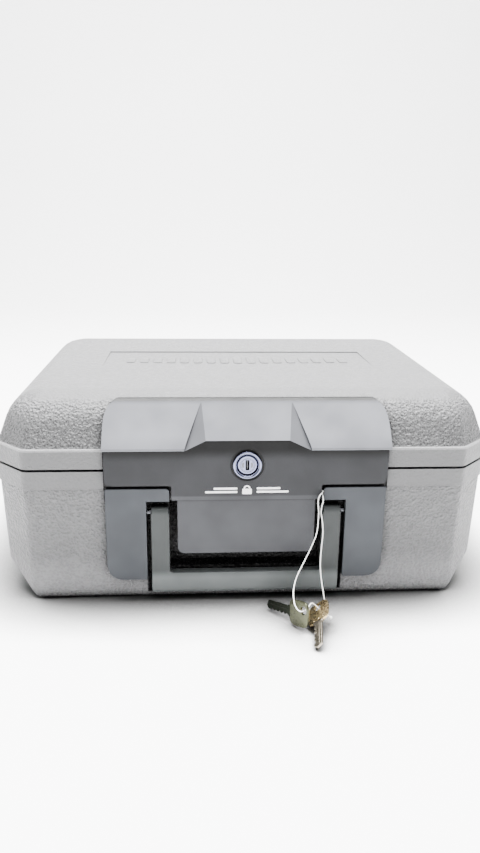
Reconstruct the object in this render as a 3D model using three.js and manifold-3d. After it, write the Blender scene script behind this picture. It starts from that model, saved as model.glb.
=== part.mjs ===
// A small fire-resistant document chest: two insulated plastic shells hinged at the back, a key lock
// in the lid's front cover, a folding carry handle in the base's front cover, and two keys on a thin
// plastic loop.
// Millimetres. +X is the viewer's right, +Y is the back, +Z is up; the origin is under the middle.
import * as THREE from 'three';
import { mergeVertices } from 'three/addons/utils/BufferGeometryUtils.js';
import { ConvexGeometry } from 'three/addons/geometries/ConvexGeometry.js';
import Module from 'manifold-3d';

const wasm = await Module();
wasm.setup();

// ---- Driving dimensions ----------------------------------------------------------------------

const WIDTH = 363;
const HEIGHT = 155;
const RIM_FRONT = -132.3; // front of the rim, where the shells are widest
const RIM_BACK = 137.3;
const CORNER_CUT = 23.3; // leg of the 45 degree cut on each upright corner
const CORNER_ROUND = 8; // rounding of the eight corners of the outline
const WALL = 3; // shell wall
const GAP = 0.3; // between pieces that touch

const PARTING = 104; // lower edge of the lid
const BASE_TOP = 102.2;
const BAND_LOW = 89.2; // the smooth band round the top of the base ends here
const BAND_STEP = 1; // and the wall below stands back this far
const DRAFT = 0.031; // taper of the base wall, mm per mm
const BOTTOM_ROUND = 5; // front and back bottom edges of the base
const SIDE_BEVEL = 25; // 45 degree bevel along the two bottom side edges

const LID_LEDGE = 118.4; // top of the lid's upright band
const LEDGE_STEP = 1.5;
const LID_SLOPE = THREE.MathUtils.degToRad(20); // of the lid wall above the ledge, off upright
const LID_ROUND = 28; // radius between that wall and the flat top

const CAVITY = { halfX: 152.5, middleY: 2.5, halfY: 95.5, floor: 33, roof: 122, round: 14 };
const LINER_WALL = 2.5;
const FLANGE = 2.5; // thickness of the liners' flanges
const SEAL = { inner: 3.5, outer: 9.5, bottom: 102.4, top: 104 }; // offsets from the mouth of the cavity

const FACE = -134.8; // front plane of the covers, the wings and the lock panel
const COVER_HALF = 101.6;
const BROW = {
  top: 149.8,
  lip: 120.1,
  lipY: -142.2,
  centreHalf: 29.5,
  shoulderHalf: 45,
  apexHalf: 32.5,
  centreLip: 126.2,
};
const COVER_LOW = 91.9; // lower edge of the lid's cover, beside the tongue
const TONGUE = { half: 54.2, low: 80.8 };
const PULL = { half: 50.2, low: 38.3, face: FACE + 0.7, back: -130.6, round: 6 };
const WING = { low: 17.8, top: 89.8, inner: 72.2, round: 13 };
const BAY = { half: 72.2, low: 5.2, top: 79.3, back: -124.3 }; // recess that the folded handle lies in
const SCOOP = { half: 56, low: 24, back: -113 }; // finger room behind the handle
const REBATE = { half: 102.4, base: -130, lid: -130.4, top: 118 }; // flat seat of both covers

const HANDLE = { outer: 69.4, inner: 55.8, low: 6, barTop: 23, front: -134.6, back: -126.9 };
const HANDLE_AXIS = { y: -129.8, z: 70 };
const KNUCKLE_RADIUS = 5;
const PIN_RADIUS = 1.8;

const LOCK_Z = 107.4;
const BARREL_RADIUS = 9.2;
const PLUG_RADIUS = 7.4;
const CAM = { back: 20.4, thickness: 2, half: 5, reach: 22 }; // back is the depth behind FACE
const LOCK_POCKET = { half: 34, front: -127, back: -110, low: 83, high: 124 };
const BARREL_NOTCH = { half: 15.5, back: -126, low: 94, high: 122 };

const HINGE = {
  y: 137.8,
  z: 103.1,
  radius: 4.2,
  x: 105,
  bore: 1.7,
  pin: 1.5,
  lidHalf: 8.5,
  baseFrom: 9,
  baseTo: 25,
};

const CORD_RADIUS = 0.4;
const KEY = { bowRadius: 9.8, holeRadius: 3, holeFromCentre: 5, blade: 23, bladeHalf: 3.2, thickness: 2 };

// ---- Materials -------------------------------------------------------------------------------

const material = (color, roughness, metalness = 0) =>
  new THREE.MeshStandardMaterial({ color, roughness, metalness });
const shellGrey = material(0xaeaeae, 0.75);
const coverGrey = material(0x6d7276, 0.42);
const fillGrey = material(0xc9c4b8, 0.95);
const linerGrey = material(0x4c4e50, 0.6);
const sealBlack = material(0x1d1d1e, 0.85);
const steel = material(0x9da0a3, 0.35, 0.9);
const chrome = material(0xd4d9de, 0.12, 1);
const brass = material(0xb6935a, 0.32, 0.9);
const clearWhite = material(0xf2f2ee, 0.3);

// ---- Helpers ---------------------------------------------------------------------------------

// A closed geometry as a manifold-3d solid.
function solid(geometry) {
  const bare = geometry.clone();
  for (const extra of ['normal', 'uv']) bare.deleteAttribute(extra);
  const merged = mergeVertices(bare, 1e-4);
  return new wasm.Manifold(
    new wasm.Mesh({
      numProp: 3,
      vertProperties: merged.attributes.position.array,
      triVerts: new Uint32Array(merged.index.array),
    }),
  );
}

const unite = (first, ...others) => others.reduce((sum, one) => sum.add(one), first);
const cut = (first, ...others) => others.reduce((rest, one) => rest.subtract(one), first);

// A box by its corners, each side moved out by grow.
function box([x0, x1], [y0, y1], [z0, z1], grow = 0) {
  const size = [x1 - x0, y1 - y0, z1 - z0].map((side) => side + 2 * grow);
  const geometry = new THREE.BoxGeometry(...size);
  return solid(geometry.translate((x0 + x1) / 2, (y0 + y1) / 2, (z0 + z1) / 2));
}

function cylinderX(radius, [x0, x1], y, z, sides = 24) {
  const geometry = new THREE.CylinderGeometry(radius, radius, x1 - x0, sides);
  return solid(geometry.rotateZ(Math.PI / 2).translate((x0 + x1) / 2, y, z));
}

function cylinderY(radius, [y0, y1], x, z, sides = 32) {
  const geometry = new THREE.CylinderGeometry(radius, radius, y1 - y0, sides);
  return solid(geometry.translate(x, (y0 + y1) / 2, z));
}

// An outline in X and Z, extruded from front to back. The bevel keeps the outline's outer size.
function alongY(shape, [y0, y1], bevel = 0) {
  const geometry = new THREE.ExtrudeGeometry(shape, {
    depth: y1 - y0 - 2 * bevel,
    curveSegments: 6,
    bevelEnabled: bevel > 0,
    bevelThickness: bevel,
    bevelSize: bevel,
    bevelOffset: -bevel,
    bevelSegments: 2,
  });
  return solid(geometry.rotateX(Math.PI / 2).translate(0, y1 - bevel, 0));
}

// An outline in Y and Z, extruded from left to right.
function alongX(shape, [x0, x1]) {
  const options = { depth: x1 - x0, curveSegments: 6, bevelEnabled: false };
  const geometry = new THREE.ExtrudeGeometry(shape, options);
  const turn = new THREE.Matrix4().makeBasis(
    new THREE.Vector3(0, 1, 0),
    new THREE.Vector3(0, 0, 1),
    new THREE.Vector3(1, 0, 0),
  );
  return solid(geometry.applyMatrix4(turn).translate(x0, 0, 0));
}

// An outline in X and Y, extruded upwards.
function alongZ(shape, [z0, z1]) {
  const options = { depth: z1 - z0, curveSegments: 6, bevelEnabled: false };
  const geometry = new THREE.ExtrudeGeometry(shape, options);
  return solid(geometry.translate(0, 0, z0));
}

const polygon = (points) => new THREE.Shape(points.map(([x, y]) => new THREE.Vector2(x, y)));

// A closed outline whose corners are rounded: points are [x, y, radius].
function rounded(points) {
  const shape = new THREE.Shape();
  points.forEach(([x, y, radius = 0], i) => {
    const corner = new THREE.Vector2(x, y);
    const before = points[(i + points.length - 1) % points.length];
    const after = points[(i + 1) % points.length];
    const start = towards(corner, before, radius);
    const end = towards(corner, after, radius);
    if (i === 0) shape.moveTo(start.x, start.y);
    else shape.lineTo(start.x, start.y);
    if (radius > 0) shape.quadraticCurveTo(x, y, end.x, end.y);
  });
  shape.closePath();
  return shape;
}

function towards(corner, [x, y], distance) {
  const step = new THREE.Vector2(x, y).sub(corner).setLength(distance);
  return corner.clone().add(step);
}

const rectangle = ([x0, x1], [y0, y1], radius) =>
  rounded([[x0, y0, radius], [x1, y0, radius], [x1, y1, radius], [x0, y1, radius]]);

// ---- The eight-sided outline of both shells --------------------------------------------------

// One level of the outline, anticlockwise from above, set in from the rim by inset.
function outline(inset, z) {
  const x = WIDTH / 2 - inset;
  const front = RIM_FRONT + inset;
  const back = RIM_BACK - inset;
  const leg = CORNER_CUT - inset * (2 - Math.SQRT2);
  const corners = [
    [x, front + leg], [x, back - leg], [x - leg, back], [leg - x, back],
    [-x, back - leg], [-x, front + leg], [leg - x, front], [x - leg, front],
  ].map(([px, py]) => new THREE.Vector2(px, py));
  const tangent = Math.max(CORNER_ROUND - 0.12 * inset, 3) * Math.tan(Math.PI / 8);
  return corners.flatMap((corner, i) => {
    const before = corners[(i + 7) % 8];
    const after = corners[(i + 1) % 8];
    const start = towards(corner, before.toArray(), tangent);
    const end = towards(corner, after.toArray(), tangent);
    return new THREE.QuadraticBezierCurve(start, corner, end).getPoints(3);
  }).map((point) => new THREE.Vector3(point.x, point.y, z));
}

// A solid through a stack of [inset, z] levels, lowest first.
function stack(levels) {
  const rings = levels.map(([inset, z]) => outline(inset, z));
  const count = rings[0].length;
  const index = [];
  for (let level = 0; level + 1 < rings.length; level++) {
    for (let i = 0; i < count; i++) {
      const a = level * count + i;
      const b = level * count + ((i + 1) % count);
      index.push(a, b, b + count, a, b + count, a + count);
    }
  }
  const top = (rings.length - 1) * count;
  for (let i = 1; i + 1 < count; i++) index.push(0, i + 1, i, top, top + i, top + i + 1);
  const geometry = new THREE.BufferGeometry().setFromPoints(rings.flat());
  geometry.setIndex(index);
  return solid(geometry);
}

// The base's outer form, moved in by wall (out, where wall is negative), up to z = top.
function baseForm(wall, top = BASE_TOP + 1) {
  const inset = (z) => BAND_STEP + DRAFT * (BAND_LOW - z) + wall;
  const body = stack([
    [inset(0), wall],
    [inset(BAND_LOW), BAND_LOW - BAND_STEP],
    [wall, BAND_LOW],
    [wall, top],
  ]);
  const sill = WIDTH / 2 - (SIDE_BEVEL + 4.5) + wall * (1 - Math.SQRT2);
  const reach = 60;
  const bevels = polygon([
    [sill, wall], [sill + reach, wall + reach], [sill + reach, top + 5],
    [-sill - reach, top + 5], [-sill - reach, wall + reach], [-sill, wall],
  ]);
  const front = RIM_FRONT + inset(0);
  const back = RIM_BACK - inset(0);
  const round = BOTTOM_ROUND - wall / 2;
  const profile = rounded([
    [front, wall, round], [back, wall, round], [back, wall + round], [back + reach, wall + reach],
    [back + reach, top + 5], [front - reach, top + 5], [front - reach, wall + reach], [front, wall + round],
  ]);
  return body
    .intersect(alongY(bevels, [RIM_FRONT - 20, RIM_BACK + 20]))
    .intersect(alongX(profile, [-WIDTH, WIDTH]));
}

// The lid's outer form, moved in by wall, from z = bottom.
function lidForm(wall, bottom = PARTING - 1) {
  const shrink = 1 - wall / (HEIGHT - PARTING);
  const rise = LID_ROUND * (1 - Math.sin(LID_SLOPE));
  const wallTop = HEIGHT - rise;
  const wallInset = LEDGE_STEP + (wallTop - LID_LEDGE) * Math.tan(LID_SLOPE);
  const levels = [[0, LID_LEDGE], [LEDGE_STEP, LID_LEDGE + 0.5]];
  const steps = 6;
  for (let i = 0; i <= steps; i++) {
    const angle = LID_SLOPE + (i / steps) * (Math.PI / 2 - LID_SLOPE);
    levels.push([
      wallInset + LID_ROUND * (Math.cos(LID_SLOPE) - Math.cos(angle)),
      wallTop + LID_ROUND * (Math.sin(angle) - Math.sin(LID_SLOPE)),
    ]);
  }
  const scaled = levels.map(([inset, z]) => [inset + wall, PARTING + (z - PARTING) * shrink]);
  return stack([[wall, bottom], ...scaled]);
}

// ---- Recesses in the shells ------------------------------------------------------------------

const OUTSIDE = RIM_FRONT - 30;

const lockPocket = (grow, [low, high]) =>
  box([-LOCK_POCKET.half, LOCK_POCKET.half], [LOCK_POCKET.front, LOCK_POCKET.back], [low, high], grow);
const barrelNotch = (grow, [low, high]) =>
  box([-BARREL_NOTCH.half, BARREL_NOTCH.half], [OUTSIDE, BARREL_NOTCH.back], [low, high], grow);
const handleBay = (grow) => box([-BAY.half, BAY.half], [OUTSIDE, BAY.back], [BAY.low, BAY.top], grow);
const fingerScoop = (grow) =>
  box([-SCOOP.half, SCOOP.half], [OUTSIDE, SCOOP.back], [SCOOP.low, BAY.top], grow);
const baseRebate = (grow) =>
  box([-REBATE.half, REBATE.half], [OUTSIDE, REBATE.base], [BAY.top - 1, BASE_TOP + 5], grow);
const lidRebate = (grow) =>
  box([-REBATE.half, REBATE.half], [OUTSIDE, REBATE.lid], [PARTING - 5, REBATE.top], grow);
const hingeRoom = (radius) =>
  unite(
    ...[-1, 1].map((side) => {
      const span = [side * HINGE.x - 29, side * HINGE.x + 29];
      return cylinderX(radius, span, HINGE.y, HINGE.z);
    }),
  );

const baseRecesses = (grow) => unite(
  handleBay(grow),
  fingerScoop(grow),
  baseRebate(grow),
  lockPocket(grow, [LOCK_POCKET.low, BASE_TOP + 5]),
  barrelNotch(grow, [BARREL_NOTCH.low, BASE_TOP + 5]),
);

const lidRecesses = (grow) => unite(
  lidRebate(grow),
  lockPocket(grow, [PARTING - 5, LOCK_POCKET.high]),
  barrelNotch(grow, [PARTING - 5, BARREL_NOTCH.high]),
);

// ---- Hinges, moulded on the back of the shells -----------------------------------------------

const hingeSides = [-HINGE.x, HINGE.x];
const lidSpans = hingeSides.map((x) => [x - HINGE.lidHalf, x + HINGE.lidHalf]);
const baseSpans = hingeSides.flatMap((x) => [
  [x - HINGE.baseTo, x - HINGE.baseFrom],
  [x + HINGE.baseFrom, x + HINGE.baseTo],
]);
const knuckles = (spans, radius, extra = 0) =>
  unite(...spans.map(([x0, x1]) => cylinderX(radius, [x0 - extra, x1 + extra], HINGE.y, HINGE.z)));
const hingeBores = () =>
  unite(...hingeSides.map((x) => cylinderX(HINGE.bore, [x - 40, x + 40], HINGE.y, HINGE.z)));

// The pocket drilled for each handle pin, in the shell and the covers.
const pinHoles = (radius) => unite(
  ...[-1, 1].map((side) => {
    const ends = [side * (WING.inner - 1), side * 77.5].sort((a, b) => a - b);
    return cylinderX(radius, ends, HANDLE_AXIS.y, HANDLE_AXIS.z, 20);
  }),
);

const STRIKE_SCREWS = [{ x: -22, z: 92 }, { x: 22, z: 92 }];
const strikeHoles = (radius, depth) =>
  unite(...STRIKE_SCREWS.map(({ x, z }) => cylinderY(radius, [LOCK_POCKET.back - 4, depth], x, z, 16)));

// ---- Base ------------------------------------------------------------------------------------

function baseShell() {
  const outer = baseForm(0, BASE_TOP);
  const hollow = cut(baseForm(WALL), baseRecesses(WALL), hingeRoom(HINGE.radius + WALL - 0.5));
  const shell = cut(outer, baseRecesses(0), hollow);
  const clear = knuckles(lidSpans, HINGE.radius + 0.5, 0.4);
  return cut(
    cut(shell, clear).add(knuckles(baseSpans, HINGE.radius)),
    hingeBores(),
    pinHoles(PIN_RADIUS + GAP),
    strikeHoles(1.9, LOCK_POCKET.back + 20),
  );
}

// The tray inside a liner, as deep as its cavity.
function tray(grow, [z0, z1]) {
  const { halfX, middleY, halfY, round } = CAVITY;
  const x = halfX + grow;
  const y = halfY + grow;
  return alongZ(rectangle([-x, x], [middleY - y, middleY + y], round + grow), [z0, z1]);
}

const NEAR_SHELL = WALL + GAP;
const hingeWall = HINGE.radius + WALL - 0.2;

function baseLiner() {
  const rim = BASE_TOP - 0.2;
  const slab = box([-WIDTH, WIDTH], [-WIDTH, WIDTH], [rim - FLANGE, rim]);
  const flange = cut(baseForm(NEAR_SHELL), baseRecesses(NEAR_SHELL), hingeRoom(hingeWall)).intersect(slab);
  const body = flange.add(tray(LINER_WALL, [CAVITY.floor - LINER_WALL, rim - FLANGE / 2]));
  return cut(body, tray(0, [CAVITY.floor, BASE_TOP + 5]));
}

function baseInsulation() {
  const fill = cut(baseForm(NEAR_SHELL), baseRecesses(NEAR_SHELL), hingeRoom(hingeWall));
  const top = BASE_TOP - 0.2 - FLANGE - GAP;
  return cut(
    fill,
    box([-WIDTH, WIDTH], [-WIDTH, WIDTH], [top, top + 50]),
    tray(LINER_WALL + GAP, [CAVITY.floor - LINER_WALL - GAP, BASE_TOP + 5]),
    strikeHoles(1.9, LOCK_POCKET.back + 10),
  );
}

// One side of the base's front cover: the strip over a handle leg and the wing beside it.
function baseCover(side) {
  const edge = TONGUE.half + 1.4;
  const outer = COVER_HALF;
  const points = [
    [edge, BAY.top + GAP], [WING.inner, BAY.top + GAP], [WING.inner, WING.low, 2],
    [outer, WING.low, WING.round], [outer, WING.top, 2], [edge, WING.top, 3],
  ];
  const outlineXZ = rounded(side > 0 ? points : points.map(([x, z, r]) => [-x, z, r]).reverse());
  const plate = alongY(outlineXZ, [FACE, -128.5], 0.8);
  const seat = cut(baseForm(-GAP), baseRebate(-GAP));
  return cut(plate, seat, pinHoles(PIN_RADIUS + GAP));
}

// A hooked steel plate on the back wall of the lock pocket; the cam turns in under its lip.
function strikePlate() {
  const back = LOCK_POCKET.back - GAP;
  const front = back - 2;
  const plate = box([-30, 30], [front, back], [86, 100.5]);
  const post = box([14, 28], [front, back], [99, 115.6]);
  const lip = box([13, 28], [front - 5, back], [113.4, 115.6]);
  return cut(unite(plate, post, lip), strikeHoles(1.9, back + 1));
}

// A pan-head screw along +Y, its head's face at y.
function screwY(x, y, z, headRadius, headHeight, radius, length) {
  const profile = [
    [0, 0], [headRadius * 0.8, 0], [headRadius, headHeight * 0.5], [headRadius, headHeight],
    [radius, headHeight], [radius, headHeight + length - radius], [0, headHeight + length],
  ].map(([r, along]) => new THREE.Vector2(r, along));
  return solid(new THREE.LatheGeometry(profile, 16).translate(x, y, z));
}

// ---- Lid -------------------------------------------------------------------------------------

function lidShell() {
  const hollow = cut(lidForm(WALL, PARTING - 2), lidRecesses(WALL), hingeRoom(HINGE.radius + WALL - 0.5));
  const shallow = polygon([[-34, HEIGHT], [38, HEIGHT - 0.7], [38, HEIGHT + 2], [-34, HEIGHT + 2]]);
  const shell = cut(lidForm(0, PARTING), lidRecesses(0), hollow, alongX(shallow, [-113, 113]));
  const clear = knuckles(baseSpans, HINGE.radius + 0.5, 0.4);
  return cut(cut(shell, clear).add(knuckles(lidSpans, HINGE.radius)), hingeBores());
}

function lidLiner() {
  const rim = PARTING + GAP;
  const slab = box([-WIDTH, WIDTH], [-WIDTH, WIDTH], [rim, rim + FLANGE]);
  const flange = cut(lidForm(NEAR_SHELL), lidRecesses(NEAR_SHELL), hingeRoom(hingeWall)).intersect(slab);
  const body = flange.add(tray(LINER_WALL, [rim + FLANGE / 2, CAVITY.roof + LINER_WALL]));
  return cut(body, tray(0, [PARTING - 5, CAVITY.roof]));
}

function lidInsulation() {
  const bottom = PARTING + GAP + FLANGE + GAP;
  return cut(
    cut(lidForm(NEAR_SHELL), lidRecesses(NEAR_SHELL), hingeRoom(hingeWall)),
    box([-WIDTH, WIDTH], [-WIDTH, WIDTH], [bottom - 50, bottom]),
    tray(LINER_WALL + GAP, [PARTING - 5, CAVITY.roof + LINER_WALL + GAP]),
  );
}

const lidSeal = () =>
  cut(tray(SEAL.outer, [SEAL.bottom, SEAL.top]), tray(SEAL.inner, [SEAL.bottom - 1, SEAL.top + 1]));

// The brow and lock panel, seen from the side.
function coverProfile() {
  return rounded([
    [-108, 151.6], [-115.4, 151.2], [-117.4, BROW.top, 1.2], [-138.6, 126.8, 4], [BROW.lipY, 121.6, 0.8],
    [BROW.lipY + 0.6, BROW.lip, 0.5], [FACE, BROW.lip + 0.6], [FACE, PULL.low - 5], [-132.7, PULL.low - 5],
    [-132.7, PARTING + 0.4], [-108, PARTING + 0.4],
  ].reverse());
}

// The lid cover's front outline: a wide panel with the tongue below its middle.
function coverOutline() {
  return rounded([
    [-TONGUE.half, TONGUE.low, 1.5], [TONGUE.half, TONGUE.low, 1.5], [TONGUE.half, COVER_LOW, 1],
    [COVER_HALF, COVER_LOW, 6], [COVER_HALF, 152.5, 17],
    [-COVER_HALF, 152.5, 17], [-COVER_HALF, COVER_LOW, 6],
    [-TONGUE.half, COVER_LOW, 1],
  ]);
}

// What is taken off the middle of the brow, so that a key and fingers reach the lock.
function browRelief() {
  const mirrored = (x, y, z) => [new THREE.Vector3(x, y, z), new THREE.Vector3(-x, y, z)];
  const { apexHalf, centreHalf, shoulderHalf, centreLip, lipY, lip } = BROW;
  const facet = solid(new ConvexGeometry([
    ...mirrored(apexHalf, -117.2, 150.2),
    ...mirrored(centreHalf, -137.4, centreLip),
    ...mirrored(shoulderHalf, lipY - 0.2, lip - 0.4),
    ...mirrored(apexHalf, -125, 165),
    ...mirrored(shoulderHalf, lipY - 15, lip + 2),
  ]));
  const arch = polygon([
    [-shoulderHalf - 1, lip - 12], [shoulderHalf + 1, lip - 12], [shoulderHalf + 1, lip - 0.4],
    [centreHalf, centreLip], [-centreHalf, centreLip], [-shoulderHalf - 1, lip - 0.4],
  ]);
  return facet.add(alongY(arch, [BROW.lipY - 10, FACE]));
}

// The pull panel that the tongue carries down between the handle's legs.
function pullPanel() {
  const { half, low, face, back, round } = PULL;
  const shape = rounded([
    [-half, low, round], [half, low, round], [half, TONGUE.low + 3], [-half, TONGUE.low + 3],
  ]);
  return alongY(shape, [face, back], 0.8);
}

function lidCover() {
  const seat = cut(lidForm(-GAP), lidRebate(-GAP));
  const front = alongY(coverOutline(), [-160, -100]);
  const block = alongX(coverProfile(), [-COVER_HALF, COVER_HALF]).intersect(front);
  const hollowProfile = polygon([
    [-117.5, 146.2], [-136.6, 125.6], [-134.5, 123], [-105, 123], [-105, 146.2],
  ]);
  const hollows = [[49, 98], [-98, -49]].map((span) => alongX(hollowProfile, span));
  return cut(
    cut(block, browRelief(), ...hollows).add(pullPanel()),
    seat,
    cylinderY(BARREL_RADIUS + GAP, [-160, -100], 0, LOCK_Z),
    cylinderY(12.2, [-160, FACE + 0.8], 0, LOCK_Z),
  );
}

// ---- Lock ------------------------------------------------------------------------------------

// A turned piece on the lock's axis: [radius, depth behind FACE].
function turned(points, sides = 40) {
  const profile = points.map(([radius, depth]) => new THREE.Vector2(radius, depth));
  return solid(new THREE.LatheGeometry(profile, sides).translate(0, FACE, LOCK_Z));
}

const lockHousing = () => turned([
  [7.7, -1.2], [8.4, -1.9], [9.6, -1.9], [10.4, -1.2], [10.4, 0.5],
  [BARREL_RADIUS, 0.5], [BARREL_RADIUS, 17], [7.7, 17], [7.7, -1.2],
]);

function lockNut() {
  const hexagon = new THREE.CylinderGeometry(14.2, 14.2, 3, 6).rotateY(Math.PI / 6);
  hexagon.translate(0, FACE + 6.1, LOCK_Z);
  return solid(hexagon).subtract(cylinderY(BARREL_RADIUS + GAP, [FACE, FACE + 10], 0, LOCK_Z));
}

function lockPlug() {
  const body = turned([[0, -0.9], [6.6, -0.9], [PLUG_RADIUS, -0.2], [PLUG_RADIUS, 17.6], [0, 17.6]]);
  const tail = box([-3, 3], [FACE + 17, FACE + CAM.back + 0.4], [LOCK_Z - 3, LOCK_Z + 3]);
  const keyway = box([-0.9, 0.9], [FACE - 5, FACE + 13], [LOCK_Z - 3.6, LOCK_Z + 3.6]);
  const screwHole = cylinderY(1.7, [FACE + 13.5, FACE + 30], 0, LOCK_Z, 16);
  return cut(unite(body, tail), keyway, screwHole);
}

function lockCam() {
  const { back, thickness, half, reach } = CAM;
  const arm = rounded([[-half, -reach, 3], [half, -reach, 3], [half, half, 3], [-half, half, 3]]);
  const plate = alongY(arm, [FACE + back - thickness, FACE + back]).translate([0, 0, LOCK_Z]);
  return plate.subtract(box([-3.3, 3.3], [-130, -100], [LOCK_Z - 3.3, LOCK_Z + 3.3]));
}

// The screw goes in from behind, so its head's face looks back.
function camScrew() {
  const head = FACE + CAM.back + 2.7;
  const screw = screwY(0, 0, 0, 4.4, 1.8, 1.4, 6.5).rotate([180, 0, 0]);
  return screw.translate([0, head, LOCK_Z]);
}

// ---- Handle ----------------------------------------------------------------------------------

function handle() {
  const { outer, inner, low, barTop, front, back } = HANDLE;
  const top = HANDLE_AXIS.z + 0.6;
  const frame = alongY(rounded([
    [-outer, low, 4], [outer, low, 4], [outer, top], [inner, top], [inner, barTop, 3],
    [-inner, barTop, 3], [-inner, top], [-outer, top],
  ]), [front, back], 1.1);
  const section = rounded([[front, low, 4.5], [back, low, 2.5], [back, top + 20], [front, top + 20]]);
  const ends = [-1, 1].map((side) => {
    const span = [side * (inner + 0.8), side * (outer - 0.8)].sort((a, b) => a - b);
    return cylinderX(KNUCKLE_RADIUS - 0.2, span, HANDLE_AXIS.y, HANDLE_AXIS.z);
  });
  const bore = cylinderX(PIN_RADIUS + 0.25, [-100, 100], HANDLE_AXIS.y, HANDLE_AXIS.z, 20);
  return cut(unite(frame.intersect(alongX(section, [-100, 100])), ...ends), bore);
}

function handlePin(side) {
  const span = [side * (HANDLE.inner + 0.2), side * 77].sort((a, b) => a - b);
  return cylinderX(PIN_RADIUS, span, HANDLE_AXIS.y, HANDLE_AXIS.z, 20);
}

// ---- Keys on their loop ----------------------------------------------------------------------

// Each key hangs on the loop by its hole: along points from the hole to the tip, and faces is square
// to its flat side.
const KEY_PLACES = [
  {
    name: 'key_1',
    hole: [49.5, -168.2, 11.4],
    along: [-0.14, -0.96, -0.2],
    faces: [-0.7, 0, 0.7],
    aside: 0,
  },
  {
    name: 'key_2',
    hole: [38, -177.8, 15.2],
    along: [-0.6, 0.78, -0.2],
    faces: [0.83, 0.53, -0.14],
    aside: 3,
  },
];

// Out of the seam beside the tongue, round the small eye, down, through both keys, up and back into the seam.
const LOOP_ROUTE = [
  [54.9, -132.2, 84.2], [54.9, -135.6, 84.2], [54.9, -137.6, 82.9], [54.9, -138.1, 80.2],
  [54.1, -138.6, 76.6], [53.6, -139.4, 72], [54.6, -141, 65.3], [54.9, -143.2, 57],
  [54, -145.7, 48.6], [53.1, -148.4, 40.5], [52.8, -151.6, 33.5], [53.4, -155.8, 25],
  [54.4, -160, 17.5], [54.8, -164.4, 11.4], [53.6, -167.4, 8.6], [51.6, -168.2, 9.5],
  [49.5, -168.2, 11.4], [47, -168.2, 13.9], [44.4, -169.8, 16.2], [41.2, -174.8, 16],
  [38, -177.8, 15.2], [34.8, -178.8, 15.4], [32.2, -176, 17.4], [31.4, -170, 20.5],
  [32.4, -162.4, 24.5], [35.4, -155.8, 30], [39.8, -150.8, 36.4], [43.8, -147.6, 43],
  [47.4, -145.3, 50], [50.4, -143.1, 57.8], [51.5, -140.9, 65.5], [51.8, -139.4, 72],
  [51.5, -138.4, 77], [51.4, -137.9, 81], [52.2, -137.7, 84.2], [53.6, -137.3, 86],
  [54.9, -135.4, 86.7], [54.9, -132.2, 86.7],
];
const LOOP_TAIL = [[54.7, -168.7, 7.4], [55.9, -169.4, 6.6], [57.4, -170.4, 5.6]];
const TAIL_KNOB = { at: [58.2, -170.9, 5.1], radius: 1.3 };

// A round cord along a list of points: 8 sides, about 76 steps on the loop.
function cord(points, steps) {
  const stops = points.map((point) => new THREE.Vector3(...point));
  const curve = new THREE.CatmullRomCurve3(stops, false, 'centripetal');
  const section = new THREE.Shape();
  section.absarc(0, 0, CORD_RADIUS, 0, 2 * Math.PI);
  return solid(new THREE.ExtrudeGeometry(section, { steps, curveSegments: 8, extrudePath: curve }));
}

function loopTail() {
  const knob = new THREE.SphereGeometry(TAIL_KNOB.radius, 12, 8).translate(...TAIL_KNOB.at);
  return cord(LOOP_TAIL, 3).add(solid(knob));
}

function key({ hole, along, faces, aside }) {
  const { bowRadius, holeRadius, holeFromCentre, blade, bladeHalf, thickness } = KEY;
  const bow = new THREE.Shape();
  bow.absarc(holeFromCentre, -aside, bowRadius, 0, 2 * Math.PI);
  const bowHole = new THREE.Path();
  bowHole.absarc(0, 0, holeRadius, 0, 2 * Math.PI, true);
  bow.holes.push(bowHole);
  const root = holeFromCentre + bowRadius - 1.5;
  const tip = root + blade + 1.5;
  const cuts = [0.15, 0.31, 0.47, 0.63, 0.79].flatMap((share, i) => {
    const x = root + 1.5 + share * blade;
    const depth = 0.9 + 0.7 * (i % 3);
    return [[x - 1.2, -bladeHalf], [x, depth - bladeHalf], [x + 1.2, -bladeHalf]];
  });
  const bladeShape = polygon([
    [root, bladeHalf], [root, -bladeHalf], ...cuts, [tip - 1.6, -bladeHalf],
    [tip, -bladeHalf + 2.6], [tip - 1.6, bladeHalf],
  ].map(([x, y]) => [x, y - aside]));
  const flat = { depth: thickness, bevelEnabled: false, curveSegments: 24 };
  const bar = solid(new THREE.ExtrudeGeometry(bladeShape, flat));
  const plate = solid(new THREE.ExtrudeGeometry(bow, flat)).add(bar);
  const axisX = new THREE.Vector3(...along).normalize();
  const axisZ = new THREE.Vector3(...faces);
  axisZ.addScaledVector(axisX, -axisZ.dot(axisX)).normalize();
  const axisY = axisZ.clone().cross(axisX);
  const place = new THREE.Matrix4().makeBasis(axisX, axisY, axisZ).setPosition(...hole);
  return plate.translate([0, 0, -thickness / 2]).transform(place.elements);
}

// ---- The assembly ----------------------------------------------------------------------------

const chest = new THREE.Group();

function put(name, made, look) {
  const { numProp, vertProperties, triVerts } = made.getMesh();
  const positions = new Float32Array((vertProperties.length / numProp) * 3);
  for (let i = 0; i * numProp < vertProperties.length; i++) {
    positions.set(vertProperties.subarray(i * numProp, i * numProp + 3), i * 3);
  }
  const geometry = new THREE.BufferGeometry();
  geometry.setAttribute('position', new THREE.BufferAttribute(positions, 3));
  geometry.setIndex(new THREE.BufferAttribute(triVerts, 1));
  geometry.computeVertexNormals();
  const mesh = new THREE.Mesh(geometry, look);
  mesh.name = name;
  chest.add(mesh);
}

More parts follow.
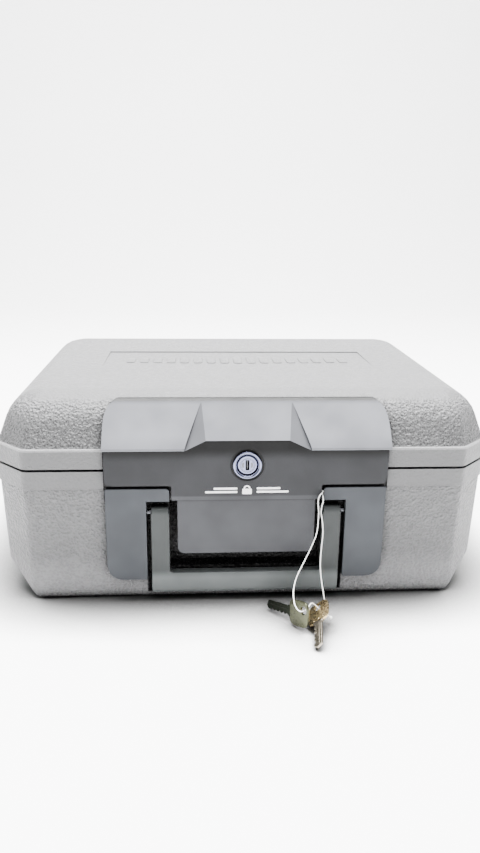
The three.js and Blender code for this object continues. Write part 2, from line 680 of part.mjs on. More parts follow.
put('base_shell', baseShell(), shellGrey);
put('base_insulation', baseInsulation(), fillGrey);
put('base_liner', baseLiner(), linerGrey);
put('base_cover_left', baseCover(-1), coverGrey);
put('base_cover_right', baseCover(1), coverGrey);
put('strike_plate', strikePlate(), steel);
STRIKE_SCREWS.forEach(({ x, z }, i) => {
  put(`strike_screw_${i + 1}`, screwY(x, LOCK_POCKET.back - GAP - 2 - GAP - 1.6, z, 3, 1.6, 1.6, 11), steel);
});
hingeSides.forEach((x, i) => {
  const pin = cylinderX(HINGE.pin, [x - HINGE.baseTo + 0.5, x + HINGE.baseTo - 0.5], HINGE.y, HINGE.z);
  put(`hinge_pin_${['left', 'right'][i]}`, pin, steel);
});

put('lid_shell', lidShell(), shellGrey);
put('lid_insulation', lidInsulation(), fillGrey);
put('lid_liner', lidLiner(), linerGrey);
put('lid_seal', lidSeal(), sealBlack);
put('lid_cover', lidCover(), coverGrey);

put('lock_housing', lockHousing(), chrome);
put('lock_nut', lockNut(), steel);
put('lock_plug', lockPlug(), chrome);
put('lock_cam', lockCam(), steel);
put('cam_screw', camScrew(), steel);

put('handle', handle(), coverGrey);
put('handle_pin_left', handlePin(-1), steel);
put('handle_pin_right', handlePin(1), steel);

KEY_PLACES.forEach((place) => put(place.name, key(place), brass));
put('key_loop', cord(LOOP_ROUTE, 76), clearWhite);
put('loop_tail', loopTail(), clearWhite);

export default chest;
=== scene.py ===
# Looks of the fire-resistant document chest: rounded edges, moulded-plastic, metal and rubber finishes,
# detailed keys, lock face, lid relief, floor, light and camera. Metres, in the frame of the CAD model.
import math

import bmesh
import bpy
from mathutils import Matrix, Vector


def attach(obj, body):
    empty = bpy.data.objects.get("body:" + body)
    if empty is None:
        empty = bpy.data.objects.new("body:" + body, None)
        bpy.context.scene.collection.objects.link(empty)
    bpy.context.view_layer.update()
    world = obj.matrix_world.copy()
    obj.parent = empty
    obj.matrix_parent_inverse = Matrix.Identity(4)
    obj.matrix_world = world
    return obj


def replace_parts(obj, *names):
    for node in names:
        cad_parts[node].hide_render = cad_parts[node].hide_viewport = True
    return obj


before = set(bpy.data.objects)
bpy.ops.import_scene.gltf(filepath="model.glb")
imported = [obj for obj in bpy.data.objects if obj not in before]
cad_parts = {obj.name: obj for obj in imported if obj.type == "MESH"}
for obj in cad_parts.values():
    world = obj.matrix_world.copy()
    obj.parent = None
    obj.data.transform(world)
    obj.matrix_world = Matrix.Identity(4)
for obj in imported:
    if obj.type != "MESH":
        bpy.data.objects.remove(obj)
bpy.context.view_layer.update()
MM = 0.001

FACE_Y = -134.8 * MM  # front plane of the covers
LOCK = Vector((0, FACE_Y, 107.4 * MM))
LEDGE_Z = 118.4 * MM  # top of the lid's upright band
BAND_Z = 89.2 * MM  # lower edge of the base's smooth band
LID_TOP_Z = 155 * MM
BAY_HALF = 72.4 * MM  # half width of the bay that the handle folds into
BROW_TOP_Z = 149.8 * MM  # where the brow of the lid's cover starts
BROW_APEX = 32.5 * MM  # half width of the brow's raised middle at its top


# ---- Camera -------------------------------------------------------------------------------------

def make_camera():
    data = bpy.data.cameras.new("camera")
    data.lens = 30.944
    data.sensor_width = 36
    data.clip_start = 0.01
    camera = bpy.data.objects.new("camera", data)
    yaw = Matrix.Rotation(math.radians(-3.693), 4, "Z")
    pitch = Matrix.Rotation(math.radians(90 - 16.92), 4, "X")
    roll = Matrix.Rotation(math.radians(0.784), 4, "Z")
    place = Matrix.Translation((-0.03723, -0.62363, 0.28498))
    camera.matrix_world = place @ yaw @ pitch @ roll
    bpy.context.scene.collection.objects.link(camera)
    bpy.context.scene.camera = camera


# ---- The key loop -------------------------------------------------------------------------------

CORD_DIAMETER = 0.8  # millimetres, as in the route
# Out of the seam beside the tongue, round the small eye, down, through both keys, up and back in.
LOOP_ROUTE = [
    (54.9, -132.2, 84.2), (54.9, -135.6, 84.2), (54.9, -137.6, 82.9), (54.9, -138.1, 80.2),
    (54.1, -138.6, 76.6), (53.6, -139.4, 72), (54.6, -141, 65.3), (54.9, -143.2, 57),
    (54, -145.7, 48.6), (53.1, -148.4, 40.5), (52.8, -151.6, 33.5), (53.4, -155.8, 25),
    (54.4, -160, 17.5), (54.8, -164.4, 11.4), (53.6, -167.4, 8.6), (51.6, -168.2, 9.5),
    (49.5, -168.2, 11.4), (47, -168.2, 13.9), (44.4, -169.8, 16.2), (41.2, -174.8, 16),
    (38, -177.8, 15.2), (34.8, -178.8, 15.4), (32.2, -176, 17.4), (31.4, -170, 20.5),
    (32.4, -162.4, 24.5), (35.4, -155.8, 30), (39.8, -150.8, 36.4), (43.8, -147.6, 43),
    (47.4, -145.3, 50), (50.4, -143.1, 57.8), (51.5, -140.9, 65.5), (51.8, -139.4, 72),
    (51.5, -138.4, 77), (51.4, -137.9, 81), (52.2, -137.7, 84.2), (53.6, -137.3, 86),
    (54.9, -135.4, 86.7), (54.9, -132.2, 86.7),
]


def link(name, data, body):
    piece = bpy.data.objects.new(name, data)
    bpy.context.scene.collection.objects.link(piece)
    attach(piece, body)
    return piece


def make_loop(material):
    """The strand as one smooth tube; the radius of its points is that of the tube."""
    curve = bpy.data.curves.new("loop_strand", "CURVE")
    curve.dimensions = "3D"
    curve.bevel_depth = 1
    curve.bevel_resolution = 3
    curve.resolution_u = 8
    spline = curve.splines.new("BEZIER")
    spline.bezier_points.add(len(LOOP_ROUTE) - 1)
    for point, place in zip(spline.bezier_points, LOOP_ROUTE):
        point.co = Vector(place) * MM
        point.radius = CORD_DIAMETER / 2 * MM
        point.handle_left_type = point.handle_right_type = "AUTO"
    strand = link("loop_strand", curve, "base")
    curve.materials.append(material)
    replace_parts(strand, "key_loop")


# ---- Material building --------------------------------------------------------------------------

class Look:
    """A node material: add() makes a node, links the sockets it is given and sets the plain values."""

    def __init__(self, name, color, roughness, metallic=0.0, **shader):
        self.material = bpy.data.materials.new(name)
        self.material.use_nodes = True
        self.tree = self.material.node_tree
        self.shader = self.tree.nodes["Principled BSDF"]
        self.shader.inputs["Base Color"].default_value = (*color, 1)
        self.shader.inputs["Roughness"].default_value = roughness
        self.shader.inputs["Metallic"].default_value = metallic
        for key, value in shader.items():
            self.shader.inputs[key.replace("_", " ")].default_value = value
        self.color = color
        self.roughness = roughness
        self.place = self.add("ShaderNodeTexCoord").outputs["Object"]

    def add(self, kind, inputs=None, **settings):
        node = self.tree.nodes.new(kind)
        for key, value in settings.items():
            setattr(node, key, value)
        for key, value in (inputs or {}).items():
            if isinstance(value, bpy.types.NodeSocket):
                self.tree.links.new(value, node.inputs[key])
            else:
                node.inputs[key].default_value = value
        return node

    def math(self, operation, first, second=0.0, clamp=False):
        inputs = {0: first, 1: second}
        return self.add("ShaderNodeMath", inputs, operation=operation, use_clamp=clamp).outputs[0]

    def product(self, *factors):
        value = factors[0]
        for factor in factors[1:]:
            value = self.math("MULTIPLY", value, factor)
        return value

    def noise(self, size, detail=4.0, distortion=0.0):
        """Noise from 0 to 1 whose lumps are about size metres across."""
        inputs = {"Vector": self.place, "Scale": 1 / size, "Detail": detail, "Distortion": distortion}
        return self.add("ShaderNodeTexNoise", inputs).outputs[0]

    def cells(self, size):
        """Rounded cells about size metres across, 0 in their middles."""
        inputs = {"Vector": self.place, "Scale": 0.6 / size, "Detail": 2.0}
        wobble = self.add("ShaderNodeTexNoise", inputs).outputs["Color"]
        inputs = {0: wobble, "Scale": size * 1.2}
        shift = self.add("ShaderNodeVectorMath", inputs, operation="SCALE").outputs[0]
        moved = self.add("ShaderNodeVectorMath", {0: self.place, 1: shift}, operation="ADD").outputs[0]
        inputs = {"Vector": moved, "Scale": 1 / size}
        return self.add("ShaderNodeTexVoronoi", inputs, feature="F1").outputs["Distance"]

    def steps(self, value, low, high, first, last):
        """The value rescaled from low..high to first..last, smoothly and clamped."""
        inputs = {"Value": value, "From Min": low, "From Max": high, "To Min": first, "To Max": last}
        return self.add("ShaderNodeMapRange", inputs, interpolation_type="SMOOTHSTEP").outputs[0]

    def place_parts(self):
        """The X, Y and Z of the place on the object."""
        return self.add("ShaderNodeSeparateXYZ", {0: self.place}).outputs

    def vary_color(self, factor, darker, lighter, crevice_shade=0.0, power=1.6, tone=1.0):
        """The base colour times darker..lighter by factor, times tone, and with painted shade in narrow
        crevices.
        """
        scale = self.product(self.steps(factor, 0.25, 0.75, darker, lighter), tone)
        # Painted shade: the colour darkens where other surfaces lie close by.
        if crevice_shade:
            inputs = {"Distance": crevice_shade}
            openness = self.add("ShaderNodeAmbientOcclusion", inputs, samples=8).outputs["AO"]
            scale = self.product(scale, self.math("POWER", openness, power))
        inputs = {0: self.color, "Scale": scale}
        color = self.add("ShaderNodeVectorMath", inputs, operation="SCALE").outputs[0]
        self.tree.links.new(color, self.shader.inputs["Base Color"])

    def vary_roughness(self, factor, spread):
        value = self.steps(factor, 0.3, 0.7, self.roughness - spread, self.roughness + spread)
        self.tree.links.new(value, self.shader.inputs["Roughness"])

    def bump(self, height, depth, strength=1.0):
        """Bumps of depth metres."""
        inputs = {"Height": height, "Distance": depth, "Strength": strength}
        normal = self.add("ShaderNodeBump", inputs).outputs[0]
        self.tree.links.new(normal, self.shader.inputs["Normal"])


def bay_painted_shade(look, x, y, z):
    """Painted shade: nearly black inside the bay and the finger room behind the handle, 1 elsewhere."""
    bay = look.product(
        look.steps(look.math("ABSOLUTE", x), BAY_HALF, BAY_HALF + 1 * MM, 1, 0),
        look.steps(y, -131.8 * MM, -131 * MM, 0, 1),
        look.steps(y, -100 * MM, -99 * MM, 1, 0),
        look.steps(z, 4.5 * MM, 5 * MM, 0, 1),
        look.steps(z, 110 * MM, 111 * MM, 1, 0),
    )
    return look.steps(bay, 0, 1, 1.0, 0.04)


def slope_speckle_and_shade(look, slope, z):
    """Speckled, with painted shade and light: darker on the lid's slopes, most at their foot, lighter
    towards their top; 1 elsewhere.
    """
    speckle = look.steps(look.cells(1.3 * MM), 0.15, 0.6, 0.2, 0.95)
    # Painted light and shade: from 0.75 times at the slopes' foot to 1.4 times at their top.
    speckle = look.product(speckle, look.steps(z, 130 * MM, 148 * MM, 0.75, 1.4))
    return look.steps(slope, 0, 1, 1.0, speckle)


def ledge_highlight(look, z):
    """Painted highlight along the ledge round the lid."""
    distance = look.math("ABSOLUTE", look.math("SUBTRACT", z, LEDGE_Z))
    return look.steps(distance, 0.9 * MM, 1.8 * MM, 2.2, 1.0)


def shell_look():
    """Grey moulded plastic: leathery pebbles, shallower on the smooth bands and the lid's top; painted
    shade in the bay, on the lid's slopes and in crevices, and painted light on the ledge and towards the
    bottom.
    """
    look = Look("shell_plastic", (0.095, 0.095, 0.097), 0.48, Specular_IOR_Level=0.3)
    x, y, z = look.place_parts()
    above_ledge = look.steps(z, LEDGE_Z, LEDGE_Z + 1 * MM, 0, 1)
    slope = look.product(above_ledge, look.steps(z, 146 * MM, 153.5 * MM, 1, 0))
    below_band = look.steps(z, BAND_Z - 1 * MM, BAND_Z, 1, 0)
    rough_zone = look.math("ADD", slope, below_band, clamp=True)
    pebbles = look.product(look.cells(2.1 * MM), look.steps(rough_zone, 0, 1, 0.3, 1.0))
    grain = look.product(look.noise(0.5 * MM, 3), 0.25)
    look.bump(look.math("ADD", pebbles, grain), 1.2 * MM)
    # Painted light: up to 1.9 times lighter towards the bottom of the shell.
    painted_foot_light = look.steps(z, 10 * MM, 40 * MM, 1.9, 1.0)
    tone = look.product(
        bay_painted_shade(look, x, y, z), slope_speckle_and_shade(look, slope, z), ledge_highlight(look, z), painted_foot_light,
    )
    look.vary_color(pebbles, 0.95, 1.1, crevice_shade=8 * MM, tone=tone)
    look.vary_roughness(look.noise(4 * MM, 3), 0.05)
    return look.material


def satin_look(look, crevice_shade, tone):
    """Finishes a cover's plastic with a fine grain, faint blotches, painted shade in its crevices and
    the given tone.
    """
    look.bump(look.noise(0.6 * MM, 3), 0.06 * MM, 0.6)
    look.vary_color(look.noise(30 * MM, 2), 0.86, 1.14, crevice_shade=crevice_shade, power=2.2, tone=tone)
    look.vary_roughness(look.noise(20 * MM, 3), 0.05)
    return look.material


def facet_painted_shade(look, x, z):
    """Painted shade: darker on the narrow facets beside the brow's raised middle, which widen towards
    its lip.
    """
    drop = look.math("SUBTRACT", BROW_TOP_Z, z)
    across = look.math("ABSOLUTE", x)
    outer_edge = look.math("ADD", look.product(drop, 0.42), BROW_APEX)
    inner_edge = look.math("SUBTRACT", BROW_APEX, look.product(drop, 0.12))
    blur = 0.2 * MM
    facet = look.product(
        look.steps(look.math("SUBTRACT", across, outer_edge), -blur, blur, 1, 0),
        look.steps(look.math("SUBTRACT", across, inner_edge), -blur, blur, 0, 1),
        look.steps(drop, 0, 2 * MM, 0, 1),
        look.steps(z, 119 * MM, 119.5 * MM, 0, 1),
    )
    return look.steps(facet, 0, 1, 1.0, 0.55)


def panel_look():
    """The lid's cover: painted light on the brow, painted shadow right below its lip, painted light on
    the pull panel.
    """
    look = Look("cover_panel", (0.0205, 0.021, 0.023), 0.33, Specular_IOR_Level=0.1)
    x, y, z = look.place_parts()
    # How far out along the normal of the brow's slope: largest on the brow itself.
    outward = look.math("SUBTRACT", look.product(z, 0.78), y)
    # Painted shadow right below the brow's lip.
    brow_painted_shadow = look.steps(z, 110 * MM, 119.5 * MM, 1.0, 0.1)
    # Painted light: 5.4 times lighter on the brow and 1.9 times on the pull panel below 84 mm.
    tone = look.product(
        look.steps(outward, 233.8 * MM, 234.6 * MM, brow_painted_shadow, 5.4),
        look.steps(z, 83 * MM, 84.5 * MM, 1.9, 1),
        facet_painted_shade(look, x, z),
    )
    return satin_look(look, 30 * MM, tone)


def cover_look(name, color, roughness, foot_light):
    """A plain cover's plastic; its lowest 20 mm or so get painted light, as a tone given by the last
    argument.
    """
    look = Look(name, color, roughness, Specular_IOR_Level=0.1)
    z = look.place_parts()[2]
    return satin_look(look, 6 * MM, look.steps(z, 18 * MM, 26 * MM, foot_light, 1.0))


def liner_look():
    look = Look("liner_plastic", (0.075, 0.078, 0.082), 0.5)
    look.bump(look.cells(1.1 * MM), 0.15 * MM, 0.8)
    # Painted shade: darker in the liner's corners.
    look.vary_color(look.noise(40 * MM, 3), 0.9, 1.12, crevice_shade=20 * MM, power=1.0)
    look.vary_roughness(look.noise(6 * MM, 4), 0.06)
    return look.material


def insulation_look():
    """Cast insulation: chalky, with small pores."""
    look = Look("insulation", (0.58, 0.55, 0.48), 0.95)
    pores = look.steps(look.cells(3 * MM), 0.1, 0.35, 0, 1)
    look.bump(look.math("ADD", pores, look.noise(0.8 * MM, 6)), 0.4 * MM, 0.8)
    look.vary_color(look.noise(12 * MM, 6), 0.86, 1.1)
    return look.material


def rubber_look():
    look = Look("seal_rubber", (0.018, 0.018, 0.019), 0.72)
    look.bump(look.noise(0.5 * MM, 4), 0.08 * MM, 0.6)
    look.vary_color(look.noise(10 * MM, 3), 0.8, 1.3)
    return look.material


def metal_look(name, color, roughness):
    """Plated metal with a fine grain, uneven polish and painted shade in its narrow hollows."""
    look = Look(name, color, roughness, 1.0)
    look.bump(look.noise(0.35 * MM, 4, 0.6), 0.02 * MM, 0.2)
    look.vary_color(look.noise(3 * MM, 4), 0.88, 1.08, crevice_shade=1.5 * MM, power=1.2)
    look.vary_roughness(look.noise(1.5 * MM, 4), min(0.08, roughness * 0.6))
    return look.material


def loop_look():
    look = Look("loop_plastic", (0.9, 0.9, 0.88), 0.28)
    look.bump(look.noise(0.6 * MM, 3), 0.03 * MM, 0.5)
    look.vary_color(look.noise(4 * MM, 3), 0.92, 1.05)
    return look.material


def print_look():
    """White pad-printed ink, a little worn."""
    look = Look("print_ink", (0.8, 0.8, 0.8), 0.5)
    look.bump(look.noise(0.3 * MM, 4), 0.02 * MM, 0.5)
    look.vary_color(look.noise(0.9 * MM, 5), 0.75, 1.1)
    return look.material


def floor_look():
    """A pale matt floor with painted shadow where the chest comes close to it."""
    look = Look("floor", (0.93, 0.93, 0.93), 0.6)
    look.vary_color(look.noise(0.6, 2), 0.99, 1.01, crevice_shade=60 * MM, power=4.0)
    look.bump(look.noise(2 * MM, 3), 0.03 * MM, 0.3)
    return look.material


# ---- Rounded edges on the CAD nodes -------------------------------------------------------------

def smooth_faces():
    """A node group that shades every face smooth."""
    group = bpy.data.node_groups.new("smooth_faces", "GeometryNodeTree")
    for way in ("INPUT", "OUTPUT"):
        group.interface.new_socket("Geometry", in_out=way, socket_type="NodeSocketGeometry")
    nodes, links = group.nodes, group.links
    start = nodes.new("NodeGroupInput")
    end = nodes.new("NodeGroupOutput")
    smooth = nodes.new("GeometryNodeSetShadeSmooth")
    links.new(start.outputs[0], smooth.inputs["Geometry"])
    links.new(smooth.outputs[0], end.inputs[0])
    return group


def soften(piece, width, smooth):
    """Joins coplanar facets, rounds the edges and shades the result smooth."""
    weld = piece.modifiers.new("weld", "WELD")
    weld.merge_threshold = 2e-6
    flat = piece.modifiers.new("flat", "DECIMATE")
    flat.decimate_type = "DISSOLVE"
    flat.angle_limit = math.radians(0.1)
    bevel = piece.modifiers.new("bevel", "BEVEL")
    bevel.width = width * MM
    bevel.segments = 2
    bevel.limit_method = "ANGLE"
    bevel.angle_limit = math.radians(24)
    shade = piece.modifiers.new("shade", "NODES")
    shade.node_group = smooth
    normals = piece.modifiers.new("normals", "WEIGHTED_NORMAL")
    normals.weight = 80
    normals.keep_sharp = True


# ---- Mesh building ------------------------------------------------------------------------------

def mesh_from(name, build):
    """A mesh made by build(bm), with outward normals."""
    mesh = bpy.data.meshes.new(name)
    bm = bmesh.new()
    build(bm)
    bmesh.ops.recalc_face_normals(bm, faces=bm.faces)
    bm.to_mesh(mesh)
    bm.free()
    return mesh


def shade_smooth(mesh, angle=35):
    """Shades the faces smooth, except across edges sharper than angle degrees."""
    for face in mesh.polygons:
        face.use_smooth = True
    mesh.set_sharp_from_angle(angle=math.radians(angle))


def arc(radius, start, end, count, centre=(0, 0)):
    """The points of an arc about centre, from start to end degrees."""
    steps = [math.radians(start + (end - start) * i / count) for i in range(count + 1)]
    return [(centre[0] + radius * math.cos(a), centre[1] + radius * math.sin(a)) for a in steps]


def rounded_outline(corners, count=5):
    """An outline of (x, y) points whose corners (x, y, radius) are cut by smooth curves."""
    points = []
    for i, (x, y, radius) in enumerate(corners):
        corner = Vector((x, y))
        before = (Vector(corners[i - 1][:2]) - corner).normalized()
        after = (Vector(corners[(i + 1) % len(corners)][:2]) - corner).normalized()
        start = corner + before * radius
        end = corner + after * radius
        for k in range(count + 1 if radius else 1):
            t = k / count
            point = start * (1 - t) ** 2 + corner * 2 * t * (1 - t) + end * t ** 2
            points.append(tuple(point))
    return points


def rectangle(left, low, right, high, radius=0.0, count=3):
    """The outline of a rectangle whose corners are rounded by radius."""
    corners = [(left, low, radius), (right, low, radius), (right, high, radius), (left, high, radius)]
    return rounded_outline(corners, count)


def plate(bm, outline, low, high, place, bevel=0.0, segments=2):
    """A flat plate between low and high along its own Z, its edges rounded, put in place by a matrix."""
    part = bmesh.new()
    verts = [part.verts.new((x, y, low)) for x, y in outline]
    face = part.faces.new(verts)
    top = bmesh.ops.extrude_face_region(part, geom=[face])["geom"]
    moved = [v for v in top if isinstance(v, bmesh.types.BMVert)]
    bmesh.ops.translate(part, verts=moved, vec=(0, 0, high - low))
    if bevel:
        rims = [e for e in part.edges if abs(e.verts[0].co.z - e.verts[1].co.z) < 1e-6]
        rounding = {"offset": bevel, "segments": segments, "profile": 0.5, "affect": "EDGES"}
        bmesh.ops.bevel(part, geom=rims, **rounding)
    bmesh.ops.transform(part, matrix=place, verts=part.verts)
    copy = bpy.data.meshes.new("part")
    part.to_mesh(copy)
    part.free()
    bm.from_mesh(copy)
    bpy.data.meshes.remove(copy)


def solid_piece(name, build):
    """An object made by build(bm), to be cut or joined."""
    piece = bpy.data.objects.new(name, mesh_from(name, build))
    bpy.context.scene.collection.objects.link(piece)
    return piece


def boolean(piece, other, operation="DIFFERENCE"):
    """Cuts other out of piece (or joins it on) for good, and removes other."""
    step = piece.modifiers.new("cut", "BOOLEAN")
    step.operation = operation
    step.solver = "EXACT"
    step.object = other
    bpy.context.view_layer.update()
    graph = bpy.context.evaluated_depsgraph_get()
    made = bpy.data.meshes.new_from_object(piece.evaluated_get(graph))
    piece.modifiers.remove(step)
    piece.data = made
    bpy.data.objects.remove(other)


# ---- Keys ---------------------------------------------------------------------------------------

# As in the CAD, in millimetres. A key's place is the middle of its hole, the way from there to its tip
# and the way that its flat side faces; its hole may lie aside of its middle line.
BRASS_KEY = {
    "name": "brass_key",
    "node": "key_1",
    "slot": "key_brass",
    "place": ((49.5, -168.2, 11.4), (-0.14, -0.96, -0.2), (-0.7, 0, 0.7)),
    "aside": 0,
}
NICKEL_KEY = {
    "name": "nickel_key",
    "node": "key_2",
    "slot": "key_nickel",
    "place": ((38, -177.8, 15.2), (-0.6, 0.78, -0.2), (0.83, 0.53, -0.14)),
    "aside": 3,
}


def key_place(hole, along, faces):
    """The matrix from a key's own millimetres to its place."""
    axis_x = Vector(along).normalized()
    axis_z = Vector(faces)
    axis_z = (axis_z - axis_x * axis_z.dot(axis_x)).normalized()
    axis_y = axis_z.cross(axis_x)
    place = Matrix((axis_x, axis_y, axis_z)).transposed().to_4x4()
    place.translation = Vector(hole) * MM
    return place @ Matrix.Scale(MM, 4)


def key_bow(name, middle):
    """The head of a key, with its hole, in the key's own millimetres."""
    outline = rectangle(5 - 9.2, middle - 9.3, 5 + 9.2, middle + 9.3, 6, 5)
    unplaced = Matrix.Identity(4)
    bow = solid_piece(name, lambda bm: plate(bm, outline, -0.95, 0.95, unplaced, 0.35))
    boolean(bow, solid_piece("cutter", lambda bm: plate(bm, arc(3, 0, 345, 23), -3, 3, unplaced)))
    shade_smooth(bow.data)
    return bow


def key_bars(bm, middle, place):
    """Three raised bars on each side of the bow."""
    for side in (-1, 1):
        for shift in (-4.2, 0, 4.2):
            outline = rectangle(9.4, middle + shift - 1.1, 12.6, middle + shift + 1.1, 0.9)
            low, high = sorted((side * 0.8, side * 1.05))
            plate(bm, outline, low, high, place, 0.1, 1)


def key_blade(bm, middle, place):
    """A collar and a notched blade with a ridge along each side."""
    root, tip, half = 13.4, 37.5, 3.3
    notches = []
    for i in range(5):
        x = root + 3.6 + i * 3.7
        deep = 0.9 + 0.7 * (i % 3) - half
        notches += [(x - 1.2, -half), (x - 0.4, deep), (x + 0.4, deep), (x + 1.2, -half)]
    nose = [(tip - 1.8, -half), (tip, 2.4 - half), (tip - 1.6, half)]
    outline = [(root, half), (root, -half), *notches, *nose]
    plate(bm, [(x, y + middle) for x, y in outline], -0.85, 0.85, place, 0.15, 1)
    plate(bm, rectangle(13.2, middle - 4.2, 15.4, middle + 4.2, 0.8), -1, 1, place, 0.2, 1)
    for side in (-1, 1):
        low, high = sorted((side * 0.7, side * 1.0))
        plate(bm, rectangle(16, middle + 0.7, 36, middle + 1.5), low, high, place, 0.12, 1)


def make_key(key, body_look, blade_look):
    """A cylinder-lock key: bow, raised bars on it, and its blade, as three pieces."""
    place = key_place(*key["place"])
    name, middle = key["name"], -key["aside"]
    bow = key_bow(name, middle)
    bow.data.transform(place)
    bow.data.materials.append(body_look)
    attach(bow, "base")
    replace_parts(bow, key["node"])
    bars = mesh_from(name + "_bars", lambda bm: key_bars(bm, middle, place))
    bars.materials.append(body_look)
    shade_smooth(bars)
    link(name + "_bars", bars, "base")
    blade = mesh_from(name + "_blade", lambda bm: key_blade(bm, middle, place))
    blade.materials.append(blade_look)
    link(name + "_blade", blade, "base")


# ---- Small details on the covers and the lid ----------------------------------------------------

# A frame whose X is the chest's X, whose Y is up and whose Z looks out of the front covers.
FRONT = Matrix(((1, 0, 0), (0, 0, -1), (0, 1, 0))).to_4x4()


def on_front(z):
    """That frame in millimetres, with its origin on the covers' front plane at height z."""
    place = FRONT.copy()
    place.translation = (0, FACE_Y, z)
    return place @ Matrix.Scale(MM, 4)


def make_print(material):
    """The white print below the lock: a padlock sign between plain bars."""
    def build(bm):
        place = on_front(88.4 * MM)
        for side in (-1, 1):
            for height, reach in ((-1.5, 30), (1.1, 24)):
                left, right = sorted((side * 7, side * reach))
                bar = rectangle(left, height - 0.75, right, height + 0.75, 0.6)
                plate(bm, bar, 0.02, 0.09, place)
        plate(bm, rectangle(-3.4, -3.2, 3.4, 0.9, 0.6), 0.02, 0.09, place)
        shackle = arc(2.5, 0, 180, 14, (0, 1)) + arc(1.5, 180, 0, 14, (0, 1))
        plate(bm, shackle, 0.02, 0.09, place)

    mesh = mesh_from("cover_mark", build)
    mesh.materials.append(material)
    link("cover_mark", mesh, "lid")


def make_lid_relief(material):
    """A plain relief in the shallow recess on the lid: a row of low rounded ribs."""
    def build(bm):
        depth, length = 0.7, 72  # of the recess, which slopes down to its back
        tilt = Matrix.Rotation(-math.atan2(depth, length), 4, "X")
        place = Matrix.Translation((0, 0, LID_TOP_Z - 0.33 * MM)) @ tilt @ Matrix.Scale(MM, 4)
        for i in range(-8, 9):
            x = i * 11.4
            half = 13 - 0.4 * abs(i)
            plate(bm, rectangle(x - 3.6, -half, x + 3.6, half, 3, 5), -0.5, 0.5, place, 0.3)

    mesh = mesh_from("lid_relief", build)
    mesh.materials.append(material)
    shade_smooth(mesh, 60)
    link("lid_relief", mesh, "lid")


def ring(bm, profile, centre, count=64):
    """A turned ring about the lock's axis: profile is (radius, depth) pairs in millimetres."""
    loops = []
    for i in range(count):
        angle = math.tau * i / count
        turn = Vector((math.cos(angle), 0, math.sin(angle)))
        places = [centre + (turn * radius + Vector((0, depth, 0))) * MM for radius, depth in profile]
        loops.append([bm.verts.new(place) for place in places])
    for i in range(count):
        here, there = loops[i], loops[(i + 1) % count]
        for k in range(len(profile)):
            after = (k + 1) % len(profile)
            bm.faces.new((here[k], there[k], there[after], here[after]))


def make_housing(material):
    """The lock's housing: a domed bezel with a stepped mouth, and its barrel."""
    mouth = [(7.75, 0.2), (7.75, -0.5), (8.15, -0.95), (8.35, -0.95)]
    dome = [(8.5, -1.35), (9.0, -1.75), (9.6, -1.8), (10.1, -1.5), (10.4, -0.9), (10.4, 0.5)]
    barrel = [(9.2, 0.5), (9.2, 17), (7.75, 17)]
    profile = mouth + dome + barrel
    mesh = mesh_from("lock_bezel", lambda bm: ring(bm, profile, LOCK))
    mesh.materials.append(material)
    shade_smooth(mesh, 40)
    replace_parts(link("lock_bezel", mesh, "lid"), "lock_housing")


def make_plug(material, dark):
    """The plug: a grooved face, keyway and tail, two dark curved marks and the dark ward inside."""
    middle = [(0, -0.55), (4.5, -0.55)]
    groove = [(4.7, -0.3), (5.3, -0.3), (5.5, -0.55)]
    rim = [(6.5, -0.6), (7.05, -0.3), (7.4, 0.1)]
    profile = [*middle, *groove, *rim, (7.4, 17.6), (0, 17.6)]

    def body(bm):
        ring(bm, profile, LOCK)
        bmesh.ops.remove_doubles(bm, verts=bm.verts, dist=1e-6)

    def keyway(bm):
        plate(bm, rectangle(-1.4, -3.9, 1.4, 3.9, 0.5), -13, 3, on_front(LOCK.z))

    def tail(bm):
        plate(bm, rectangle(-3, -3, 3, 3), -20.8, -17, on_front(LOCK.z), 0.3, 1)

    piece = solid_piece("plug", body)
    boolean(piece, solid_piece("cutter", keyway))
    boolean(piece, solid_piece("joined", tail), "UNION")
    shade_smooth(piece.data, 30)
    piece.data.materials.clear()
    piece.data.materials.append(material)
    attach(piece, "lock")
    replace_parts(piece, "lock_plug")

    def marks(bm):
        for start in (148, -32):
            outline = arc(3.9, start, start + 64, 10) + arc(2.7, start + 64, start, 10)
            plate(bm, outline, 0.5, 0.62, on_front(LOCK.z))

    def wards(bm):
        plate(bm, rectangle(-0.35, -3.4, 0.3, 3.4), -12.5, -0.8, on_front(LOCK.z))

    for name, build in (("plug_marks", marks), ("plug_wards", wards)):
        mesh = mesh_from(name, build)
        mesh.materials.append(dark)
        link(name, mesh, "lock")


# ---- Floor and light ----------------------------------------------------------------------------

def make_floor(material):
    """A floor that curves up into a backdrop, as one plain sweep."""
    half, front, bend, radius, top = 4.0, -4.0, 1.4, 1.0, 5.0
    sweep = [(bend + y, radius + z) for y, z in arc(radius, -90, 0, 16)]
    profile = [(front, 0), *sweep, (bend + radius, top)]
    mesh = bpy.data.meshes.new("floor")
    verts = [(side * half, y, z) for y, z in profile for side in (-1, 1)]
    faces = [(2 * i, 2 * i + 1, 2 * i + 3, 2 * i + 2) for i in range(len(profile) - 1)]
    mesh.from_pydata(verts, [], faces)
    shade_smooth(mesh, 60)
    mesh.materials.append(material)
    floor = bpy.data.objects.new("floor", mesh)
    bpy.context.scene.collection.objects.link(floor)


def area_light(name, place, target, size, power):
    """A rectangular lamp of size metres at place, turned to target."""
    data = bpy.data.lights.new(name, "AREA")
    data.shape = "RECTANGLE"
    data.size, data.size_y = size
    data.energy = power
    lamp = bpy.data.objects.new(name, data)
    lamp.location = place
    lamp.rotation_euler = (Vector(target) - Vector(place)).to_track_quat("-Z", "Y").to_euler()
    bpy.context.scene.collection.objects.link(lamp)


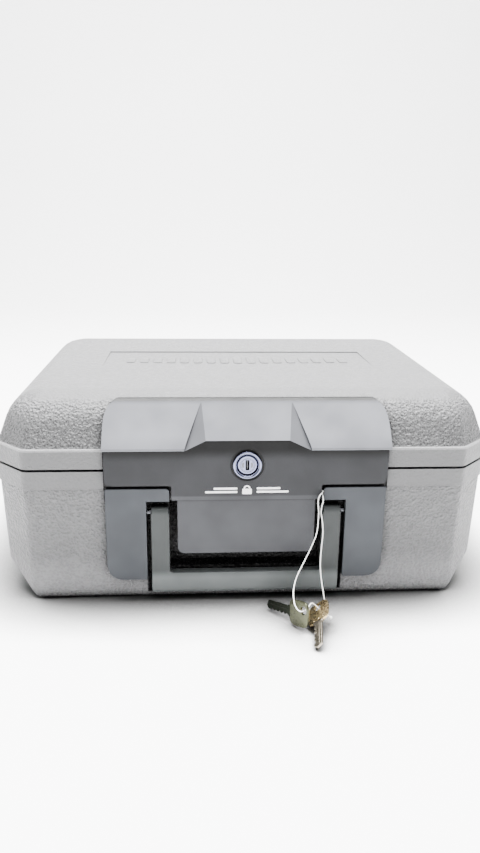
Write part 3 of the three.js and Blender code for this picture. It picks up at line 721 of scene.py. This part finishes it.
def make_light():
    world = bpy.data.worlds.new("studio")
    world.use_nodes = True
    sky = world.node_tree.nodes["Background"]
    sky.inputs["Color"].default_value = (1, 1, 1, 1)
    sky.inputs["Strength"].default_value = 0.35
    bpy.context.scene.world = world
    area_light("key", (0, 0.1, 1.5), (0, -0.1, 0), (1.7, 0.8), 215)
    area_light("front_fill", (0, -1.5, 0.3), (0, 0, 0.05), (1.8, 0.4), 10)
    area_light("front_strip", (0.05, -0.8, 1.3), (0, -0.13, 0.13), (1.2, 0.3), 14)
    area_light("backdrop", (0, 0.3, 2.6), (0, 2.2, 0.6), (3.0, 1.0), 330)


# ---- Put together -------------------------------------------------------------------------------

def dress(nodes, material, width, smooth):
    """Gives CAD nodes their material, and edges rounded by width millimetres."""
    for name in nodes:
        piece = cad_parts[name]
        piece.data.materials.clear()
        piece.data.materials.append(material)
        soften(piece, width, smooth)


make_camera()
shell = shell_look()
panel = panel_look()
wing = cover_look("wing_plastic", (0.038, 0.041, 0.046), 0.4, foot_light=1.0)
# Painted light: the handle 2.8 times lighter at its foot.
grip = cover_look("handle_plastic", (0.036, 0.039, 0.039), 0.36, foot_light=2.8)
liner = liner_look()
steel = metal_look("plated_steel", (0.08, 0.082, 0.09), 0.34)
chrome = metal_look("lock_chrome", (0.14, 0.15, 0.22), 0.16)
brass = metal_look("key_brass", (0.5, 0.38, 0.2), 0.3)
nickel = metal_look("key_nickel", (0.075, 0.078, 0.05), 0.33)
silver = metal_look("key_silver", (0.26, 0.23, 0.18), 0.34)
# Painted shade: the nickel key's blade is nearly black, standing in for the shadow that it lies in.
shaded_blade_metal = metal_look("key_shaded_blade", (0.012, 0.014, 0.01), 0.4)
white = loop_look()
smooth = smooth_faces()

make_key(BRASS_KEY, brass, silver)
make_key(NICKEL_KEY, nickel, shaded_blade_metal)
make_loop(white)

dress(["base_shell", "lid_shell"], shell, 0.5, smooth)
dress(["lid_cover"], panel, 0.45, smooth)
dress(["base_cover_left", "base_cover_right"], wing, 0.4, smooth)
dress(["handle"], grip, 0.4, smooth)
dress(["base_liner", "lid_liner"], liner, 0.6, smooth)
dress(["base_insulation", "lid_insulation"], insulation_look(), 0.5, smooth)
dress(["lid_seal"], rubber_look(), 0.4, smooth)
dress(["strike_plate", "strike_screw_1", "strike_screw_2"], steel, 0.15, smooth)
dress(["lock_nut", "lock_cam", "cam_screw"], steel, 0.15, smooth)
dress(["hinge_pin_left", "hinge_pin_right", "handle_pin_left", "handle_pin_right"], steel, 0.15, smooth)
dress(["loop_tail"], white, 0.05, smooth)

make_print(print_look())
make_lid_relief(shell)
make_housing(chrome)
make_plug(chrome, liner)
make_floor(floor_look())
make_light()
